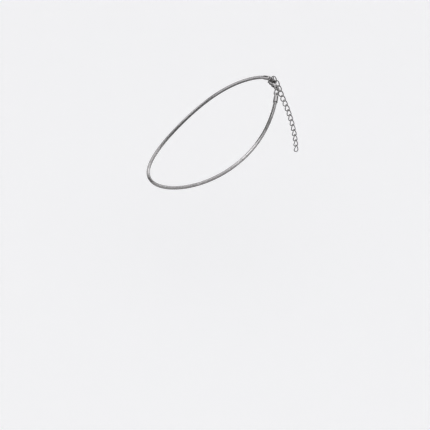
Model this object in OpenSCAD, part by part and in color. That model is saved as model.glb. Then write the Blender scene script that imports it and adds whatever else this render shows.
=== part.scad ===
// Snake chain anklet with a lobster clasp and a free-hanging extender.
// The loop keeps the form it has round an ankle: the origin is the middle of the loop, +Z is up the leg,
// +X points to the heel and the clasp, and -Y is the side where the clasp sits a little forward.

/* [Loop round the ankle] */
// Half length of the loop, toe side to heel side
loop_half_length = 36; // [30:0.5:42]
// Half width of the loop
loop_half_width = 31; // [27:0.5:36]
// How much wider the loop is towards the heel, as a part of its width
loop_egg = 0.15; // [0:0.01:0.25]
// Height of the heel side above the middle, and of the middle above the toe side
loop_rise = 22; // [10:0.5:28]
// How far both sides hang below the slope from heel to toes
loop_sag = 6.2; // [0:0.1:10]
// How far the +Y side stands above the -Y side, halved
loop_lean = -0.6; // [-2:0.1:2]
// How far the clasp draws the back of the loop out
pull_out = 4; // [2:0.1:5]
// How far the clasp lifts the back of the loop
pull_up = 2.8; // [0:0.1:4]
// Direction of that pull round the loop, in degrees
pull_angle = -3; // [-6:1:6]
// How narrow the pulled-out stretch is
pull_narrowness = 16; // [10:1:22]

/* [Snake chain] */
// Width of the chain across its corners
chain_d = 2; // [1.6:0.1:2.4]
// Turn of the octagon about the chain's own line, from a corner on top
chain_roll = 10; // [0:1:22]
// Rings of corners along the modelled chain
chain_rings = 78; // [60:1:80]

/* [End caps] */
// Outer diameter of the cups
cap_d = 2.6; // [2.6:0.1:3]
// Length of the cups
cap_length = 4.5; // [4.2:0.1:5]
// Diameter of the hole that takes the chain
cap_bore = 2.25; // [2.2:0.05:2.4]
// Depth of chain in the cup
cap_grip = 2.8; // [2.2:0.1:3]
// Distance from the cup's mouth to the middle of its eye
cap_reach = 5.3; // [5.2:0.1:5.6]
// Place of the near cap's mouth round the loop, in degrees
near_mouth = -28; // [-30:0.5:-27]
// Place of the far cap's mouth round the loop, in degrees
far_mouth = 10; // [9.5:0.5:10]

/* [Eyes and jump rings] */
// Radius of the hole in each soldered eye
eye_hole = 0.75; // [0.7:0.05:0.8]
// Wire diameter of the cap eyes
eye_wire = 0.6; // [0.5:0.05:0.7]
// Outer diameter of both jump rings
ring_d = 5; // [4.9:0.05:5.1]
// Wire diameter of both jump rings
ring_wire = 0.7; // [0.6:0.05:0.7]

/* [Lobster clasp] */
// Distance from the clasp's eye to the middle of its round head
head_at = 5.8; // [5.6:0.1:6]
// Radius of the round head
head_r = 2.4; // [2.3:0.1:2.5]
// Radius of the opening in the head
opening_r = 1.5; // [1.4:0.05:1.55]
// Thickness of the clasp at its middle line
clasp_t = 2.4; // [2.2:0.1:2.6]
// Thickness of the clasp's eye
clasp_eye_t = 0.9; // [0.8:0.05:1]
// Thickness of the lever
lever_t = 0.9; // [0.8:0.05:1]
// Radius of the rivet that the lever turns on
pin_r = 0.35; // [0.3:0.01:0.4]
// Gap round the lever, on each side
lever_gap = 0.12; // [0.1:0.01:0.15]

/* [Extender] */
// Number of curb links
link_count = 15; // [12:1:16]
// Length of a link over its wire
link_length = 5.05; // [5.03:0.01:5.08]
// Width of a link over its wire
link_width = 3.2; // [3:0.1:3.4]
// Wire diameter of the links
link_wire = 0.65; // [0.62:0.01:0.65]
// How far the corners of a twisted link leave its flat
link_twist = 0.5; // [0.48:0.01:0.54]
// Distance from one link to the next
link_pitch = 3.65; // [3.62:0.01:3.65]
// Slope of the heel under the extender, in degrees from straight down
heel_slope = 22; // [20:0.5:24]
// Extra slope of the first link
first_slope = 7.5; // [6.5:0.5:8.5]
// How much steeper the extender hangs before it meets the heel, and how much it then slants out over it
heel_bulge = 3; // [0:0.5:4]
// Slope of the extender towards the -Y side
side_slope = 2; // [0:0.5:4]
// Place where the first link hangs on its ring, in degrees up from the far cap's eye
hang_angle = 100; // [98:1:102]
// Direction that the flat of the lower links faces, in degrees from +X towards -Y
link_facing = 75; // [60:5:85]

/* [Hidden] */
function two_digits(i) = str(i < 10 ? "0" : "", i);
function link_name(i) = str("extender_link_", two_digits(i));

steel = [0.76, 0.76, 0.77];
dark_steel = [0.6, 0.6, 0.61];
smooth = 64;

// Vectors
function unit(v) = v / norm(v);
function square_to(v, axis) = unit(v - (v * axis) * axis);

// A point of the loop's line, and its direction there, at an angle seen from above
function loop_point(a) =
    let (pull = pow((1 + cos(a - pull_angle)) / 2, pull_narrowness))
    [loop_half_length * cos(a) + pull_out * pull,
     loop_half_width * sin(a) * (1 + loop_egg * cos(a)),
     loop_rise * cos(a) - loop_sag * pow(sin(a), 2) + loop_lean * sin(a) + pull_up * pull];
function loop_direction(a) = unit(loop_point(a + 0.5) - loop_point(a - 0.5));

// Jump rings and where things hang in them
ring_r = (ring_d - ring_wire) / 2;
eye_r = eye_hole + eye_wire / 2;
eye_slack = 0.2;
clasp_slack = 0.08;

// The near cap, the ring on it and the clasp follow each other along the loop
near_cap_at = loop_point(near_mouth);
near_cap_axis = unit(loop_point(near_mouth + 4) - near_cap_at);
near_eye_at = near_cap_at + cap_reach * near_cap_axis;
clasp_ring_along = unit(loop_point(-16) - loop_point(-22));
clasp_ring_face = square_to([0.85, -0.12, -0.5], clasp_ring_along);
clasp_ring_at = near_eye_at + (ring_r + eye_slack) * clasp_ring_along;
clasp_at = near_eye_at + (2 * ring_r + eye_slack + clasp_slack) * clasp_ring_along;
clasp_axis = unit([0.02, 0.98, 0.19]);
clasp_flat = square_to([0.3, -0.18, 0.93], clasp_axis);
clasp_side = cross(clasp_flat, clasp_axis);
hook_rest = [head_at + 0.3, -0.3];
hook_at = clasp_at + hook_rest.x * clasp_axis + hook_rest.y * clasp_side;

// The far cap comes back to meet the ring in the hook
far_cap_at = loop_point(far_mouth);
far_cap_axis = unit(loop_point(far_mouth - 4) - far_cap_at);
far_eye_at = far_cap_at + cap_reach * far_cap_axis;
hook_span = norm(far_eye_at - hook_at);
hook_ring_along = (far_eye_at - hook_at) / hook_span;
hook_ring_face = square_to([0.826, -0.19, -0.48], hook_ring_along);
hook_ring_up = cross(hook_ring_face, hook_ring_along);
hook_ring_at = (hook_at + far_eye_at) / 2
    + sqrt(max(0, pow(ring_r, 2) - pow(hook_span / 2, 2))) * hook_ring_up;

// Clasp outline, its opening and the large ball that rounds both its faces
neck_at = 0.9;
neck_r = 0.95;
opening_at = [head_at, -0.1];
opening_tail_at = [head_at - 1.6, -0.2];
opening_tail_r = 0.95;
face_r = 14;
clasp_hole = eye_hole + 0.2;
clasp_eye_r = clasp_hole + 0.5;

// The lever's pivot, and the slanted cut where its tip meets the hook's tip
pivot_at = [3.1, 0.75];
root_r = 0.8;
tip_cut_at = [head_at + 0.25, 2.55];
tip_cut_angle = -62.9;
tab_at = [pivot_at.x + 1.1, 1.95];
tab_r = 0.55;

// The extender's links
link_r = link_wire / 2;
link_half = link_length / 2 - link_r;
link_first_slack = 0.97;
link_roll_first = -75;
link_roll_fade = 0.65;
link_steps = 24;
link_sides = 6;

// A placed frame: local X along "along", local Z along "face", which stands square to it
module place(at, along, face) {
    side = cross(face, along);
    multmatrix([
        [along.x, side.x, face.x, at.x],
        [along.y, side.y, face.y, at.y],
        [along.z, side.z, face.z, at.z],
        [0, 0, 0, 1]])
        children();
}

// Faces of a mesh whose rings of corners follow each other, closed on itself or capped at both ends
function wall_faces(rings, sides, closed) = [
    for (i = [0 : rings - (closed ? 1 : 2)])
        for (j = [0 : sides - 1])
            let (a = i * sides + j)
            let (b = i * sides + (j + 1) % sides)
            let (c = ((i + 1) % rings) * sides + j)
            let (d = ((i + 1) % rings) * sides + (j + 1) % sides)
            each [[a, c, d], [a, d, b]]];
function cap_faces(rings, sides) = [
    [for (j = [0 : sides - 1]) j],
    [for (j = [sides - 1 : -1 : 0]) (rings - 1) * sides + j]];

// Snake chain, from inside the far cap round the toe side to inside the near cap
chain_sides = 8;
chain_from = far_mouth - cap_grip / norm(loop_point(far_mouth) - loop_point(far_mouth - 1));
chain_to = 360 + near_mouth + cap_grip / norm(loop_point(near_mouth + 1) - loop_point(near_mouth));
function chain_angle(i) = chain_from + (chain_to - chain_from) * i / (chain_rings - 1);
function chain_corner(a, j) =
    let (along = loop_direction(a))
    let (out = unit(cross(along, [0, 0, 1])))
    let (up = cross(out, along))
    let (turn = chain_roll + 360 * j / chain_sides)
    loop_point(a) + chain_d / 2 * (sin(turn) * out + cos(turn) * up);

module snake_chain() {
    points = [
        for (i = [0 : chain_rings - 1])
            for (j = [0 : chain_sides - 1])
                chain_corner(chain_angle(i), j)];
    color(steel)
        polyhedron(points, concat(
            wall_faces(chain_rings, chain_sides, false),
            cap_faces(chain_rings, chain_sides)), convexity = 6);
}

// End cap: a cup for the chain, closed at its far end, with an eye soldered on
module end_cap(at, axis, ring_wire_along) {
    bore_depth = cap_grip + 0.3;
    rim = 0.12;
    shoulder = 0.45;
    color(steel)
        place(at, axis, square_to(ring_wire_along, axis)) {
            rotate([0, 90, 0])
                rotate_extrude($fn = smooth)
                    polygon([
                        [cap_bore / 2, 0],
                        [cap_d / 2 - rim, 0],
                        [cap_d / 2, rim],
                        [cap_d / 2, cap_length - shoulder],
                        [cap_d / 2 - shoulder, cap_length],
                        [0, cap_length],
                        [0, bore_depth],
                        [cap_bore / 2, bore_depth]]);
            translate([cap_reach, 0, 0])
                rotate_extrude($fn = smooth)
                    translate([eye_r, 0])
                        circle(eye_wire / 2, $fn = smooth);
        }
}

module end_cap_near() {
    end_cap(near_cap_at, near_cap_axis, cross(clasp_ring_face, clasp_ring_along));
}

module end_cap_far() {
    end_cap(far_cap_at, far_cap_axis, cross(hook_ring_face, far_eye_at - hook_ring_at));
}

// Jump rings of round wire
module jump_ring(at, along, face) {
    color(steel)
        place(at, along, face)
            rotate_extrude($fn = smooth)
                translate([ring_r, 0])
                    circle(ring_wire / 2, $fn = smooth);
}

module jump_ring_clasp() {
    jump_ring(clasp_ring_at, clasp_ring_along, clasp_ring_face);
}

module jump_ring_extender() {
    jump_ring(hook_ring_at, hook_ring_along, hook_ring_face);
}

// Two circles joined along their outer tangents, a hair inside them
module joined_circles(a, a_r, b, b_r) {
    gap = norm(b - a);
    heading = atan2(b.y - a.y, b.x - a.x);
    lean = acos((a_r - b_r) / gap);
    hair = 0.015;
    left = [cos(heading + lean), sin(heading + lean)];
    right = [cos(heading - lean), sin(heading - lean)];
    translate(a)
        circle(a_r, $fn = smooth);
    translate(b)
        circle(b_r, $fn = smooth);
    polygon([
        a + (a_r - hair) * left,
        b + (b_r - hair) * left,
        b + (b_r - hair) * right,
        a + (a_r - hair) * right]);
}

module clasp_outline() {
    joined_circles([neck_at, 0], neck_r, [head_at, 0], head_r);
}

module clasp_opening() {
    joined_circles(opening_tail_at, opening_tail_r, opening_at, opening_r);
}

// Everything on the lever's side of the clasp, up to the slanted cut at the hook's tip
function tip_cut(y, grow) =
    [tip_cut_at.x + (y - tip_cut_at.y) / tan(tip_cut_angle) - grow / sin(tip_cut_angle), y];
module lever_side(grow) {
    polygon([
        [pivot_at.x, 0.2 - grow],
        [head_at, 0.2 - grow],
        [head_at, 0.47 - grow],
        tip_cut(0.47 - grow, grow),
        tip_cut(5, grow),
        [pivot_at.x, 5]]);
}

// The clasp is thickest at its head and runs thinner towards the eye
module rounded_faces() {
    intersection() {
        translate([head_at - 0.6, 0, face_r - clasp_t / 2])
            sphere(face_r, $fn = 2 * smooth);
        translate([head_at - 0.6, 0, clasp_t / 2 - face_r])
            sphere(face_r, $fn = 2 * smooth);
    }
}

module clasp_body() {
    slot = lever_t + 2 * lever_gap;
    color(steel)
        place(clasp_at, clasp_axis, clasp_flat)
            difference() {
                union() {
                    intersection() {
                        translate([0, 0, -clasp_t])
                            linear_extrude(2 * clasp_t)
                                clasp_outline();
                        rounded_faces();
                    }
                    cylinder(r = clasp_eye_r, h = clasp_eye_t, center = true, $fn = smooth);
                }
                cylinder(r = clasp_hole, h = 2 * clasp_t, center = true, $fn = smooth);
                translate([0, 0, -clasp_t])
                    linear_extrude(2 * clasp_t)
                        clasp_opening();
                translate([0, 0, -clasp_t])
                    linear_extrude(2 * clasp_t)
                        difference() {
                            lever_side(lever_gap);
                            translate(pivot_at)
                                circle(root_r + 0.1, $fn = smooth);
                        }
                translate([0, 0, -slot / 2])
                    linear_extrude(slot)
                        union() {
                            translate(pivot_at)
                                circle(root_r + lever_gap, $fn = smooth);
                            translate([pivot_at.x - root_r - lever_gap, pivot_at.y])
                                square([root_r + 1, 3]);
                            lever_side(lever_gap);
                        }
                translate([pivot_at.x, pivot_at.y, 0])
                    cylinder(r = pin_r, h = 2 * clasp_t, center = true, $fn = smooth);
            }
}

// Lever: a root on the rivet, an arm that closes the opening and a small thumb tab
module lever_arm() {
    intersection() {
        linear_extrude(lever_t)
            clasp_outline();
        linear_extrude(lever_t)
            lever_side(0);
    }
}

module clasp_lever() {
    color(steel)
        place(clasp_at, clasp_axis, clasp_flat)
            translate([0, 0, -lever_t / 2])
                difference() {
                    union() {
                        lever_arm();
                        translate(pivot_at)
                            cylinder(r = root_r, h = lever_t, $fn = smooth);
                        translate(tab_at)
                            cylinder(r = tab_r, h = lever_t, $fn = smooth);
                    }
                    translate([0, 0, -lever_t])
                        linear_extrude(3 * lever_t)
                            clasp_opening();
                    translate([pivot_at.x, pivot_at.y, -lever_t])
                        cylinder(r = pin_r + 0.05, h = 3 * lever_t, $fn = smooth);
                }
}

module clasp_pin() {
    pin_length = clasp_t - 0.24;
    color(dark_steel)
        place(clasp_at, clasp_axis, clasp_flat)
            translate([pivot_at.x, pivot_at.y, 0])
                cylinder(r = pin_r, h = pin_length, center = true, $fn = smooth);
}

// Extender: curb links, each hung in the one before, sloping down over the heel
function link_slope(i) =
    heel_slope * (1 - pow(i / link_count, 2.4)) + first_slope * pow(0.35, i)
    - heel_bulge * (i < 6.6 ? sin(360 * i / 6.6) : 0);
function link_along(i) =
    unit([sin(link_slope(i)), -sin(side_slope), -cos(link_slope(i))]);
hang_at = hook_ring_at
    + ring_r * (cos(hang_angle) * hook_ring_along + sin(hang_angle) * hook_ring_up);
function link_joint(i) =
    i == 0 ? hang_at : link_joint(i - 1) + link_pitch * link_along(i - 1);
function link_at(i) = link_joint(i) + (link_half - link_first_slack) * link_along(i);
function link_face(i) =
    let (along = link_along(i))
    let (face = square_to([cos(link_facing), -sin(link_facing), 0], along))
    let (side = cross(face, along))
    let (roll = link_roll_first * pow(link_roll_fade, i))
    cos(roll) * face + sin(roll) * side;

// A curb link's line: an oval whose four corners bend to and fro out of its flat
function link_line(a) = [
    link_half * cos(a),
    (link_width / 2 - link_r) * sin(a),
    link_twist * sin(2 * a)];
function link_corner(a, turn) =
    let (along = unit(link_line(a + 1) - link_line(a - 1)))
    let (out = square_to([cos(a), sin(a), 0], along))
    let (up = cross(along, out))
    link_line(a) + link_r * (cos(turn) * out + sin(turn) * up);

module curb_link() {
    points = [
        for (i = [0 : link_steps - 1])
            for (j = [0 : link_sides - 1])
                link_corner(360 * i / link_steps, 360 * (j + 0.5) / link_sides)];
    polyhedron(points, wall_faces(link_steps, link_sides, true), convexity = 4);
}

module extender_link(i) {
    color(steel)
        place(link_at(i - 1), link_along(i - 1), link_face(i - 1))
            curb_link();
}

snake_chain();
end_cap_near();
end_cap_far();
jump_ring_clasp();
jump_ring_extender();
clasp_body();
clasp_lever();
clasp_pin();
for (i = [1 : link_count])
    extender_link(i);
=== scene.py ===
import math
import random

import bmesh
import bpy
from mathutils import Matrix, Vector


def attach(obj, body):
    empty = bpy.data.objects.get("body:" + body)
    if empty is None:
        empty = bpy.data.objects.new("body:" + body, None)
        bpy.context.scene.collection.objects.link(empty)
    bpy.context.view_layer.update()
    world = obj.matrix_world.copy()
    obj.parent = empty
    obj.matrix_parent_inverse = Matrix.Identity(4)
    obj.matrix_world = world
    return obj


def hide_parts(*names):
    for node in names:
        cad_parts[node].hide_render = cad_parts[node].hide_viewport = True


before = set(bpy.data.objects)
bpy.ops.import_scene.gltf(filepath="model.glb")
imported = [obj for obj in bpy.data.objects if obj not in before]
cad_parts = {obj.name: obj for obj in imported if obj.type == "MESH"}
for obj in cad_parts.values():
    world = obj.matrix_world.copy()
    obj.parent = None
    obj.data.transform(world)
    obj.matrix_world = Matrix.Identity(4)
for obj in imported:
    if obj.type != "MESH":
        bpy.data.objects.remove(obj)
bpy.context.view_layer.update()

# Snake chain.
# Some three hundred octagonal plates pressed from stainless steel strip, folded and hooked into each other at a
# slant, so that the chain bends smoothly. Both of its ends are crimped in the end caps.
MM = 0.001
# The loop: half its length and width, and how much wider it gets towards the clasp. Then how far the clasp's end lies
# above the middle, how far both sides hang below that slope, and how far one side lies above the middle.
LOOP_HALF_LENGTH, LOOP_HALF_WIDTH, LOOP_EGG = 36, 31, 0.15
LOOP_RISE, LOOP_SAG, LOOP_LEAN = 22, 6.2, 0.6
# The clasp draws the loop out and up, at an angle round it and over a narrow stretch.
PULL_OUT, PULL_UP, PULL_ANGLE, PULL_NARROWNESS = 4, 2.8, -3, 16
# Where the mouths of the end caps are, in degrees round the loop, and how deep the chain sits in each.
MOUTH_NEAR, MOUTH_FAR = -28, 10
CAP_GRIP = 2.8


def loop_point(angle):
    """The line that the anklet follows, at an angle seen from above, in millimetres."""
    a = math.radians(angle)
    pull = ((1 + math.cos(a - math.radians(PULL_ANGLE))) / 2) ** PULL_NARROWNESS
    return Vector((
        LOOP_HALF_LENGTH * math.cos(a) + PULL_OUT * pull,
        LOOP_HALF_WIDTH * math.sin(a) * (1 + LOOP_EGG * math.cos(a)),
        LOOP_RISE * math.cos(a) - LOOP_SAG * math.sin(a) ** 2 - LOOP_LEAN * math.sin(a) + PULL_UP * pull))


def lay_out(name, points, faces):
    """A new piece from points in millimetres and faces."""
    mesh = bpy.data.meshes.new(name)
    mesh.from_pydata([tuple(MM * c for c in p) for p in points], [], faces)
    mesh.validate()
    mesh.update()
    piece = bpy.data.objects.new(name, mesh)
    bpy.context.scene.collection.objects.link(piece)
    return piece


def skin(rings, sides, closed=False, first=0):
    """Faces between rings of points that follow each other from a first point, closed on themselves or capped at both
    ends."""
    faces = []
    for i in range(rings if closed else rings - 1):
        for j in range(sides):
            a, b = first + i * sides + j, first + i * sides + (j + 1) % sides
            shift = ((i + 1) % rings - i) * sides
            faces.append((a, b, b + shift, a + shift))
    if not closed:
        faces.append(tuple(first + j for j in reversed(range(sides))))
        faces.append(tuple(first + (rings - 1) * sides + j for j in range(sides)))
    return faces


def linear(hex_colour):
    """An sRGB colour such as "C8C8C6" as Blender's linear colour."""
    parts = [int(hex_colour[i:i + 2], 16) / 255 for i in (0, 2, 4)]
    return (*[c / 12.92 if c <= 0.04045 else ((c + 0.055) / 1.055) ** 2.4 for c in parts], 1)


def add(tree, kind, settings, inputs):
    """One shader node with its settings, and a value or a feeding socket for each input."""
    made = tree.nodes.new("ShaderNode" + kind)
    for key, value in settings.items():
        setattr(made, key, value)
    for key, value in inputs.items():
        if isinstance(value, bpy.types.NodeSocket):
            tree.links.new(value, made.inputs[key])
        else:
            made.inputs[key].default_value = value
    return made


PATCH = 1.5  # width of a patch of lighter or darker steel, in millimetres
NOISE_LOW, NOISE_HIGH = 0.3, 0.7  # the range that a noise fills


def steel(name, light, dark, smooth, rough, marks, depth=0.0015):
    """Stainless steel: patches from light to dark colour, and polishing marks from smooth to rough, of a width and a
    depth in millimetres. Real marks are about a hundredth of a millimetre wide. They are drawn coarser, because finer
    ones wouldn't show."""
    material = bpy.data.materials.new(name)
    material.use_nodes = True
    tree = material.node_tree
    tree.nodes.clear()
    place = add(tree, "TexCoord", {}, {}).outputs["Object"]
    patches = add(tree, "TexNoise", {}, {"Vector": place, "Scale": 1 / (PATCH * MM), "Detail": 3.0, "Roughness": 0.55})
    shade = add(tree, "ValToRGB", {}, {"Fac": patches.outputs["Fac"]})
    for element, position, colour in zip(shade.color_ramp.elements, (NOISE_LOW, NOISE_HIGH), (dark, light)):
        element.position, element.color = position, linear(colour)
    lines = add(tree, "TexNoise", {}, {"Vector": place, "Scale": 1 / (marks * MM), "Detail": 4.0, "Roughness": 0.6})
    wear = add(tree, "MapRange", {}, {
        "Value": lines.outputs["Fac"], "From Min": NOISE_LOW, "From Max": NOISE_HIGH,
        "To Min": smooth, "To Max": rough})
    bump = add(tree, "Bump", {}, {"Height": lines.outputs["Fac"], "Strength": 0.5, "Distance": depth * MM})
    shader = add(tree, "BsdfPrincipled", {}, {
        "Base Color": shade.outputs["Color"], "Metallic": 1.0, "Roughness": wear.outputs["Result"],
        "Normal": bump.outputs["Normal"]})
    add(tree, "OutputMaterial", {}, {"Surface": shader.outputs["BSDF"]})
    return material


# Pressed and tumbled stainless steel: a bright, slightly soft shine on each flat.
plate_steel = steel("tumbled_stainless_steel", "D8D6D7", "C2C0C1", 0.16, 0.28, 0.12)
# The same steel where the plates hide from the polishing barrel: dull, and darker as painted shade.
# The painted shade stands for the shade in the gaps between plates and in the notches, so the seams draw as fine lines.
seam_steel_painted_shade = steel("unpolished_stainless_seams_painted_shade", "727071", "4E4C4D", 0.38, 0.55, 0.12)

# The chain's line from inside the far cap to inside the near one, and its length up to each knot.
LINE_STEPS = 77
rim_from = MOUTH_FAR - CAP_GRIP / (loop_point(MOUTH_FAR) - loop_point(MOUTH_FAR - 1)).length
rim_to = 360 + MOUTH_NEAR + CAP_GRIP / (loop_point(MOUTH_NEAR + 1) - loop_point(MOUTH_NEAR)).length
stops = [rim_from + (rim_to - rim_from) * i / LINE_STEPS for i in range(LINE_STEPS + 1)]
knots = [loop_point(a) for a in stops]
reach = [0.0]
for before, after in zip(knots, knots[1:]):
    reach.append(reach[-1] + (after - before).length)


def chain_at(length):
    """Middle, way along, way out and way up of the chain, at a length from its far end."""
    i = max(k for k in range(LINE_STEPS) if reach[k] <= max(length, 0))
    part = (length - reach[i]) / (reach[i + 1] - reach[i])
    angle = stops[i] + part * (stops[i + 1] - stops[i])
    along = (loop_point(angle + 0.5) - loop_point(angle - 0.5)).normalized()
    out = along.cross(Vector((0, 0, 1))).normalized()
    return knots[i].lerp(knots[i + 1], part), along, out, out.cross(along)


# A plate's outline: eight corners, three points each. Two opposite ridges carry a small notch, where the folded strip's
# ends meet.
CHAIN_WIDTH = 2.0
CORNERS = 8
CHAIN_ROLL = 10  # how far the chain is turned from a corner on top, in degrees
CORNER = 0.09  # how far each pressed corner is rounded, along the flats
CORNER_SIZE = 0.983  # how far out a rounded corner's middle lies, as a part of the sharp corner
NOTCHED_CORNERS = (1, 5)


def plate_corner(j):
    """A plate's corner, with no rounding."""
    turn = math.radians(CHAIN_ROLL + 360 / CORNERS * j)
    return Vector((math.sin(turn), math.cos(turn))) * CHAIN_WIDTH / 2


outline = []
for j in range(CORNERS):
    here, last, following = plate_corner(j), plate_corner(j - 1), plate_corner(j + 1)
    before, after = (here.lerp(n, CORNER / (n - here).length) for n in (last, following))
    outline += [(before, False), (here * CORNER_SIZE, j in NOTCHED_CORNERS), (after, False)]
# Each plate from end to end: the part of its pitch, and its size there. The notch is at its middle.
STATIONS = [(0.025, 0.89), (0.105, 1.0), (0.34, 1.0), (0.5, 1.0), (0.66, 1.0), (0.895, 1.0), (0.975, 0.89)]
NOTCH_STATION = 3
NOTCH_SIZE = 0.84
PLATE_PITCH = 0.715
PLATE_SLANT = math.tan(math.radians(28))
PLATE_LEAN = 1.5  # how far a plate may sit turned either way, in degrees
END_ROOM = 0.7  # length that the plates leave free in both caps together
points, faces, dull_and_painted_shade = [], [], []
plates = int((reach[-1] - END_ROOM) / PLATE_PITCH)
start = (reach[-1] - plates * PLATE_PITCH) / 2
chance = random.Random(24)
for plate in range(plates):
    first = len(points)
    lean = Matrix.Rotation(math.radians(chance.uniform(-PLATE_LEAN, PLATE_LEAN)), 2)
    for station, (part, size) in enumerate(STATIONS):
        middle, along, out, up = chain_at(start + (plate + part) * PLATE_PITCH)
        for corner, notch in outline:
            flat = lean @ corner * (size * NOTCH_SIZE if notch and station == NOTCH_STATION else size)
            points.append(middle + flat.x * out + flat.y * up + PLATE_SLANT * flat.y * along)
    # A plate's two ends, its slanted rims and its notches stay dull and carry painted shade.
    for face in skin(len(STATIONS), len(outline), first=first):
        places = [divmod(v - first, len(outline)) for v in face]
        low, high = min(places)[0], max(places)[0]
        pit = any(station == NOTCH_STATION and outline[k][1] for station, k in places)
        faces.append(face)
        dull_and_painted_shade.append(low == high or low == 0 or high == len(STATIONS) - 1 or pit)
chain = lay_out("snake_chain_plates", points, faces)
chain.data.materials.append(plate_steel)
chain.data.materials.append(seam_steel_painted_shade)
for face, is_dull_and_painted_shade in zip(chain.data.polygons, dull_and_painted_shade):
    face.material_index = int(is_dull_and_painted_shade)
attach(chain, "anklet")
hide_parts("snake_chain")

# End caps.
# A cup drawn from steel tube, crimped over each end of the chain, with a wire eye soldered to its closed end. The
# mouth is rolled smooth so that it catches on nothing.
CAP_REACH = 5.3  # from the mouth to the middle of the eye
EYE_MIDDLE = 1.05  # radius of the eye, to the middle of its wire
EYE_WIRE = 0.6
CAP_STEPS, EYE_SIDES = 72, 24
# The cup from the bottom of its bore over the rolled mouth to its closed end: distance from the mouth, and radius.
CUP = [(3.1, 1.06), (3.04, 1.125), (0.06, 1.125), (0.01, 1.15), (0, 1.19), (0.02, 1.24), (0.09, 1.285), (0.2, 1.3),
       (4.0, 1.3), (4.07, 1.285), (4.12, 1.245), (4.27, 1.09), (4.42, 0.94), (4.465, 0.885), (4.49, 0.82), (4.5, 0.74)]
# Each cap's mouth, the degrees round the loop from there to where it points, and the way that the eye's flat faces.
CAPS = {
    "near": (MOUTH_NEAR, 4, (0.298525, -0.64713, 0.701502)),
    "far": (MOUTH_FAR, -4, (0.378428, 0.333595, 0.863427)),
}
# Width of the cells that round the solder joint, in millimetres, and how often they are evened out.
SOLDER_CELL, SOLDER_ROUNDS = 0.055, 7
# Drawn and polished tube: a clean, bright shine with faint marks.
tube_steel = steel("polished_stainless_tube", "D2D0D1", "BDBBBC", 0.1, 0.2, 0.1)


def bend_wire(name, line, outs, radii, sides, closed):
    """Round wire along a line of points in millimetres, with a way out of the bend and a radius at each."""
    rings, last = [], len(line) - 1
    for i, (point, out, radius) in enumerate(zip(line, outs, radii)):
        if closed:
            along = (line[(i + 1) % len(line)] - line[i - 1]).normalized()
        else:
            along = (line[min(i + 1, last)] - line[max(i - 1, 0)]).normalized()
        out = (out - out.dot(along) * along).normalized()
        up = along.cross(out)
        rings += [point + radius * (math.cos(t) * out + math.sin(t) * up)
                  for t in (2 * math.pi * (j + 0.5) / sides for j in range(sides))]
    wire = lay_out(name, rings, skin(len(line), sides, closed))
    wire.data.shade_smooth()
    return wire


def stand(at, along, face):
    """The frame of a piece: local X along one way, local Z out of its face."""
    x = Vector(along).normalized()
    z = Vector(face)
    z = (z - z.dot(x) * x).normalized()
    return Matrix.Translation(at) @ Matrix((x, z.cross(x), z)).transposed().to_4x4()


def soften(name, meshes, cell, rounds):
    """A cast or soldered form: solids that meet, as one even skin with all of its edges and joints rounded. Cell is the
    width of its cells in millimetres, and rounds says how often they are evened out. A crumb that the cells leave
    beside a sharp corner is taken off."""
    work = bmesh.new()
    for mesh in meshes:
        work.from_mesh(mesh)
    solid = bpy.data.meshes.new(name + "_rough")
    work.to_mesh(solid)
    work.free()
    solid.transform(Matrix.Scale(1 / MM, 4))
    rough = bpy.data.objects.new(name + "_rough", solid)
    bpy.context.scene.collection.objects.link(rough)
    cells = rough.modifiers.new("cells", "REMESH")
    cells.mode, cells.voxel_size = "VOXEL", cell
    even = rough.modifiers.new("even", "SMOOTH")
    even.factor, even.iterations = 0.5, rounds
    mesh = bpy.data.meshes.new_from_object(rough.evaluated_get(bpy.context.evaluated_depsgraph_get()))
    bpy.data.objects.remove(rough)
    work = bmesh.new()
    work.from_mesh(mesh)
    parts, seen = [], set()
    for first_corner in work.verts:
        if first_corner not in seen:
            part, waiting = {first_corner}, [first_corner]
            while waiting:
                for corner in [v for edge in waiting.pop().link_edges for v in edge.verts if v not in part]:
                    part.add(corner)
                    waiting.append(corner)
            seen |= part
            parts.append(part)
    crumbs = sorted(parts, key=len)[:-1]
    bmesh.ops.delete(work, geom=[v for part in crumbs for v in part], context="VERTS")
    work.to_mesh(mesh)
    work.free()
    mesh.transform(Matrix.Scale(MM, 4))
    mesh.materials.clear()
    mesh.shade_smooth()
    mesh.name = name
    piece = bpy.data.objects.new(name, mesh)
    bpy.context.scene.collection.objects.link(piece)
    return piece


turns = [2 * math.pi * k / CAP_STEPS for k in range(CAP_STEPS)]
for side, (mouth, turn, eye_faces) in CAPS.items():
    cap_frame = stand(loop_point(mouth), loop_point(mouth + turn) - loop_point(mouth), eye_faces)
    cup = lay_out(
        "cup", [cap_frame @ Vector((x, r * math.cos(t), r * math.sin(t))) for x, r in CUP for t in turns],
        skin(len(CUP), CAP_STEPS))
    eye = bend_wire(
        "eye", [cap_frame @ Vector((CAP_REACH + EYE_MIDDLE * math.cos(t), EYE_MIDDLE * math.sin(t), 0)) for t in turns],
        [cap_frame.to_3x3() @ Vector((math.cos(t), math.sin(t), 0)) for t in turns],
        [EYE_WIRE / 2] * CAP_STEPS, EYE_SIDES, True)
    cap = soften("end_cap_" + side + "_soldered", (cup.data, eye.data), SOLDER_CELL, SOLDER_ROUNDS)
    bpy.data.objects.remove(cup)
    bpy.data.objects.remove(eye)
    cap.data.materials.append(tube_steel)
    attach(cap, "anklet")
    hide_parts("end_cap_" + side)

# Jump rings.
# Round steel wire wound on a rod and sawn into rings. Each is twisted open, hung with its parts and pressed shut, so a
# fine butt joint shows where its ends meet.
RING_WIDTH, RING_WIRE = 5.0, 0.7
RING_MIDDLE = (RING_WIDTH - RING_WIRE) / 2  # radius to the middle of the wire
RING_STEPS, RING_SIDES = 96, 20
# How far from the joint the wire ends and where it has its full width, in degrees, and how thick it is at its end.
CUT_END, CUT_FULL, CUT_SIZE = 0.15, 0.35, 0.93
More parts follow.
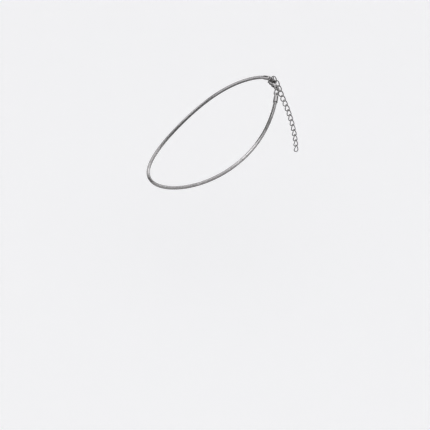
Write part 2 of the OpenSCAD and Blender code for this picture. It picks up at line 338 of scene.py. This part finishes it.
# Each ring's middle, its way along the anklet, the way that it faces, and the place of its joint in degrees.
RINGS = {
    "clasp": ((37.5157, -10.7369, 22.8453), (0.449951, 0.813123, 0.36929), (0.814378, -0.20388, -0.543342), 62),
    "extender": ((39.5406, -0.841791, 24.8328), (0.28222, 0.958392, 0.0428605), (0.839593, -0.225128, -0.494368), 215),
}
# Drawn wire, polished: bright, with faint marks.
wire_steel = steel("polished_stainless_wire", "BAB8B9", "A2A0A1", 0.05, 0.12, 0.08)
for side, (at, along, face, joint) in RINGS.items():
    ring_frame = stand(at, along, face)
    turns = [CUT_END] + [CUT_FULL + (360 - 2 * CUT_FULL) * i / (RING_STEPS - 1) for i in range(RING_STEPS)]
    turns = [math.radians(joint + t) for t in turns + [360 - CUT_END]]
    ways = [Vector((math.cos(t), math.sin(t), 0)) for t in turns]
    radii = [RING_WIRE / 2 * CUT_SIZE] + [RING_WIRE / 2] * RING_STEPS + [RING_WIRE / 2 * CUT_SIZE]
    ring = bend_wire(
        "jump_ring_" + side + "_wire", [ring_frame @ (RING_MIDDLE * w) for w in ways],
        [ring_frame.to_3x3() @ w for w in ways], radii, RING_SIDES, False)
    ring.data.materials.append(wire_steel)
    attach(ring, "anklet")
    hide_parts("jump_ring_" + side)

# Lobster clasp.
# The body and its eye are one casting, barrel polished so that every edge is soft. The lever is cast too, and turns on
# a rivet with a hidden spring behind it.
# What each casting rides on, the width of its cells in millimetres, and how often they are evened out.
CASTINGS = {"clasp_body": ("anklet", 0.06, 60), "clasp_lever": ("lever", 0.05, 45)}
# Cast stainless steel: mirror bright, with the faintly uneven skin that casting leaves.
cast_steel = steel("polished_cast_stainless", "BEBCBD", "A09E9F", 0.04, 0.1, 0.35, depth=0.004)
for part, (body, cell, rounds) in CASTINGS.items():
    casting = soften(part + "_cast", (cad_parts[part].data,), cell, rounds)
    casting.data.materials.append(cast_steel)
    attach(casting, body)
    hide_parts(part)
# Rivet of drawn steel pin stock, filed flush: a fine round line on the body's face.
rivet_steel = steel("filed_stainless_rivet", "C9C7C8", "B2B0B1", 0.22, 0.34, 0.06)
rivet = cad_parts["clasp_pin"]
rivet.data.materials.clear()
rivet.data.materials.append(rivet_steel)

# Extender.
# Fifteen curb links of the same drawn wire, each twisted so that it lies flat against its neighbours, and soldered
# shut. The clasp's ring can be hooked in at any of them, and the rest hangs free.
LINKS = 15
LINK_PITCH = 3.65
# A link's length and width over the wire of its solid. The wire shown is finer, so that the twisted link stays inside
# the solid's box.
LINK_LENGTH, LINK_WIDTH, SOLID_WIRE, LINK_WIRE = 5.05, 3.2, 0.65, 0.56
LINK_HALF, LINK_SIDE = (LINK_LENGTH - SOLID_WIRE) / 2, (LINK_WIDTH - SOLID_WIRE) / 2
LINK_TWIST = 0.5  # how far the wire's middle leaves the link's flat
LINK_HOOKED = 0.97  # how far a link's top reaches above the point that it hangs from
LINK_STEPS, LINK_SIDES = 72, 14
# The soldered joint on one side: how much it swells the wire, and over how much of a turn in radians.
SOLDER_SWELL, SOLDER_SPREAD = 0.12, 0.13
# How the links slope from straight down, in degrees: a slope that fades to none below the last link, one that starts
# at the first link and fades from link to link, and one wave in and out over the upper links.
SLOPE, SLOPE_FADE = 22, 2.4
FIRST_SLOPE, FIRST_FADE = 7.5, 0.35
WAVE, WAVE_LINKS = 3, 6.6
SIDE_SLOPE = math.tan(math.radians(2))  # towards the near side
# The way that the lower links' flat faces, and how far the first is rolled from it, which fades from link to link.
FACING, ROLL, ROLL_FADE = 75, -75, 0.65
# Where the first link hangs on its jump ring, and then each link on the one above.
hook = Vector((40.418, -1.57121, 26.6551))
turns = [2 * math.pi * k / LINK_STEPS for k in range(LINK_STEPS)]
line = [Vector((LINK_HALF * math.cos(t), LINK_SIDE * math.sin(t), LINK_TWIST * math.sin(2 * t))) for t in turns]
ways = [Vector((math.cos(t), math.sin(t), 0)) for t in turns]
radii = [LINK_WIRE / 2 * (1 + SOLDER_SWELL * math.exp(-((t - math.pi / 2) / SOLDER_SPREAD) ** 2)) for t in turns]
for i in range(LINKS):
    wave = WAVE * math.sin(2 * math.pi * i / WAVE_LINKS) if i < WAVE_LINKS else 0
    slope = math.radians(SLOPE * (1 - (i / LINKS) ** SLOPE_FADE) + FIRST_SLOPE * FIRST_FADE ** i - wave)
    along = Vector((math.sin(slope), -SIDE_SLOPE, -math.cos(slope))).normalized()
    face = Vector((math.cos(math.radians(FACING)), -math.sin(math.radians(FACING)), 0))
    face = (face - face.dot(along) * along).normalized()
    roll = math.radians(ROLL * ROLL_FADE ** i)
    face = math.cos(roll) * face + math.sin(roll) * face.cross(along)
    link_frame = stand(hook + (LINK_HALF - LINK_HOOKED) * along, along, face)
    link = bend_wire(
        "extender_link_%02d_wire" % (i + 1), [link_frame @ p for p in line],
        [link_frame.to_3x3() @ w for w in ways], radii, LINK_SIDES, True)
    link.data.materials.append(wire_steel)
    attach(link, "anklet")
    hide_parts("extender_link_%02d" % (i + 1))
    hook += LINK_PITCH * along

# Studio.
# A round pale floor that curves up into a low wall, far below and round the anklet, so that it shows no edge. The steel
# doesn't reflect it: it reflects the room, the softboxes and the cards below.
FLOOR = -75  # height of the floor, in millimetres
FLOOR_SIDES = 64
# Radius and height above the floor, in millimetres.
FLOOR_PROFILE = [(0.01, 0), (400, 0), (1500, 0), (2200, 0), (2450, 60), (2600, 220), (2640, 500), (2650, 900)]
turns = [2 * math.pi * k / FLOOR_SIDES for k in range(FLOOR_SIDES)]
studio_floor = lay_out(
    "studio_floor", [(r * math.cos(t), r * math.sin(t), FLOOR + z) for r, z in FLOOR_PROFILE for t in turns],
    skin(len(FLOOR_PROFILE), FLOOR_SIDES)[:-1])
studio_floor.data.shade_smooth()
# White paper, matt, with a faint glow of its own that lifts it to a pale, even ground.
paper = bpy.data.materials.new("white_studio_paper")
paper.use_nodes = True
tree = paper.node_tree
tree.nodes.clear()
surface = add(tree, "BsdfPrincipled", {}, {
    "Base Color": linear("F2F2F3"), "Roughness": 0.9, "Emission Color": linear("F4F4F8"), "Emission Strength": 0.21})
add(tree, "OutputMaterial", {}, {"Surface": surface.outputs["BSDF"]})
studio_floor.data.materials.append(paper)
studio_floor.visible_glossy = False
# The lamps light the steel alone. The floor has the even light of the room, with no pool or edge of a lamp's light.
lamps_reach = bpy.data.collections.new("lamps_reach")
lamps_reach.objects.link(studio_floor)
lamps_reach.collection_objects[0].light_linking.link_state = "EXCLUDE"

# The room: how bright it is at each elevation in degrees.
GLOW = [(-90, 0.25), (-24, 0.2), (-18, 0.6), (-5, 0.7), (1, 0.1), (15, 0.03), (30, 0.06), (38, 0.95), (62, 1.0),
        (76, 0.9)]
world = bpy.data.worlds.new("studio")
bpy.context.scene.world = world
world.use_nodes = True
tree = world.node_tree
sky = add(tree, "TexCoord", {}, {}).outputs["Generated"]
heading = add(tree, "SeparateXYZ", {}, {"Vector": sky})
level = add(tree, "MapRange", {}, {"Value": heading.outputs["Z"], "From Min": -1.0})
bands = add(tree, "ValToRGB", {}, {"Fac": level.outputs["Result"]})
while len(bands.color_ramp.elements) < len(GLOW):
    bands.color_ramp.elements.new(1.0)
for element, (elevation, glow) in zip(bands.color_ramp.elements, GLOW):
    element.position = (math.sin(math.radians(elevation)) + 1) / 2
    element.color = (glow, glow, glow, 1)
# The side away from the camera is lit more evenly, as by a white wall.
WALL_WAY = (0.643, 0.766, 0)
wall = add(tree, "VectorMath", {"operation": "DOT_PRODUCT"}, {0: sky, 1: WALL_WAY})
wall = add(tree, "MapRange", {}, {"Value": wall.outputs["Value"], "From Min": 0.1, "From Max": 0.5, "To Max": 0.5})
both = add(tree, "Math", {"operation": "MAXIMUM"}, {0: bands.outputs["Color"], 1: wall.outputs["Result"]})
tree.links.new(both.outputs["Value"], tree.nodes["Background"].inputs["Color"])


def way_to(azimuth, elevation):
    """The way from the anklet to a place at an azimuth and an elevation in degrees, with 0 at the front."""
    a, e = math.radians(azimuth), math.radians(elevation)
    return Vector((math.sin(a) * math.cos(e), -math.cos(a) * math.cos(e), math.sin(e)))


# Softboxes that face the anklet: azimuth and elevation, width and height in millimetres, brightness of the front.
LAMP_DISTANCE = 1000
SOFTBOXES = {
    "softbox_over_camera": (-40, 50, 500, 260, 1.5),
    "softbox_front": (-45, 15, 1500, 160, 0.9),
    "softbox_right": (62, 14, 560, 560, 1.6),
    "softbox_back_right": (128, 32, 420, 420, 1.3),
    "softbox_back": (178, 18, 900, 260, 0.5),
}
for name, (azimuth, elevation, width, height, brightness) in SOFTBOXES.items():
    back = way_to(azimuth, elevation)
    lamp = bpy.data.lights.new(name, "AREA")
    lamp.shape, lamp.size, lamp.size_y = "RECTANGLE", width * MM, height * MM
    lamp.energy = brightness * math.pi * lamp.size * lamp.size_y
    box = bpy.data.objects.new(name, lamp)
    box.location = back * LAMP_DISTANCE * MM
    box.rotation_mode = "QUATERNION"
    box.rotation_quaternion = (-back).to_track_quat("-Z", "Y")
    box.light_linking.receiver_collection = lamps_reach
    bpy.context.scene.collection.objects.link(box)

# Cards that only reflections see. They draw the dark edges that a bright metal needs on a white ground. Colour, azimuth
# round a point and distance from it, width and lower and upper edge in millimetres, and the point.
CARDS = {
    # Light on the chain's far side, beside the far cap.
    "far_side_card": ("F6F6F6", -113, 60, 70, -2, 26, (37, 8, 22)),
    # Dark outer edge of the bend opposite the clasp.
    "bend_card": ("303030", -159, 1000, 310, 364, 726, (0, 0, 0)),
    # Dark edge of the near cap and the chain beside it.
    "near_cap_card": ("181818", -138, 98, 80, 48, 190, (22, -26, 8)),
    # Grey on the upper flat of the chain's near side.
    "right_card": ("8A8A8A", 25, 1000, 700, 600, 1500, (0, 0, 0)),
    # Dark edges of the jump rings and the upper links.
    "ring_card": ("0C0C0C", 48, 60, 84, -12, 50, (40, -4, 24.5)),
    # Dark upper edges of the clasp.
    "crown_card": ("0C0C0C", 172, 36, 44, 14, 66, (41, -3, 26)),
    # Dark lower edge of the clasp.
    "clasp_card": ("0C0C0C", -108, 12, 15, -6, 1, (39, -5, 24)),
}
for name, (colour, azimuth, distance, width, low, high, about) in CARDS.items():
    card_paper = bpy.data.materials.new(name)
    card_paper.use_nodes = True
    card_paper.node_tree.nodes["Principled BSDF"].inputs["Base Color"].default_value = linear(colour)
    card_paper.node_tree.nodes["Principled BSDF"].inputs["Roughness"].default_value = 1.0
    card = lay_out(name, [(-width / 2, 0, low), (width / 2, 0, low), (width / 2, 0, high), (-width / 2, 0, high)],
                   [(0, 1, 2, 3)])
    card.matrix_world = (Matrix.Translation(Vector(about) * MM) @ Matrix.Rotation(math.radians(azimuth), 4, "Z")
                         @ Matrix.Translation((0, -distance * MM, 0)))
    card.visible_camera = card.visible_diffuse = card.visible_shadow = False
    card.data.materials.append(card_paper)

# Camera: above the near side and a little in front of the clasp, as a shop photographs an anklet, with the anklet in
# the upper part of the picture.
VIEW_AZIMUTH, VIEW_ELEVATION, VIEW_DISTANCE = -26, 34, 650
PAN_RIGHT, PAN_DOWN = 3.886, 46.556
back = way_to(VIEW_AZIMUTH, VIEW_ELEVATION)
right = Vector((math.cos(math.radians(VIEW_AZIMUTH)), math.sin(math.radians(VIEW_AZIMUTH)), 0))
above = back.cross(right)
target = PAN_RIGHT * right - PAN_DOWN * above
lens = bpy.data.cameras.new("camera")
lens.sensor_width, lens.lens = 36, 95.9
lens.clip_start, lens.clip_end = 0.01, 20
camera = bpy.data.objects.new("camera", lens)
camera.matrix_world = (Matrix.Translation((target + VIEW_DISTANCE * back) * MM)
                       @ Matrix((right, above, back)).transposed().to_4x4())
bpy.context.scene.collection.objects.link(camera)
bpy.context.scene.camera = camera
bpy.context.scene.view_settings.view_transform = "Standard"
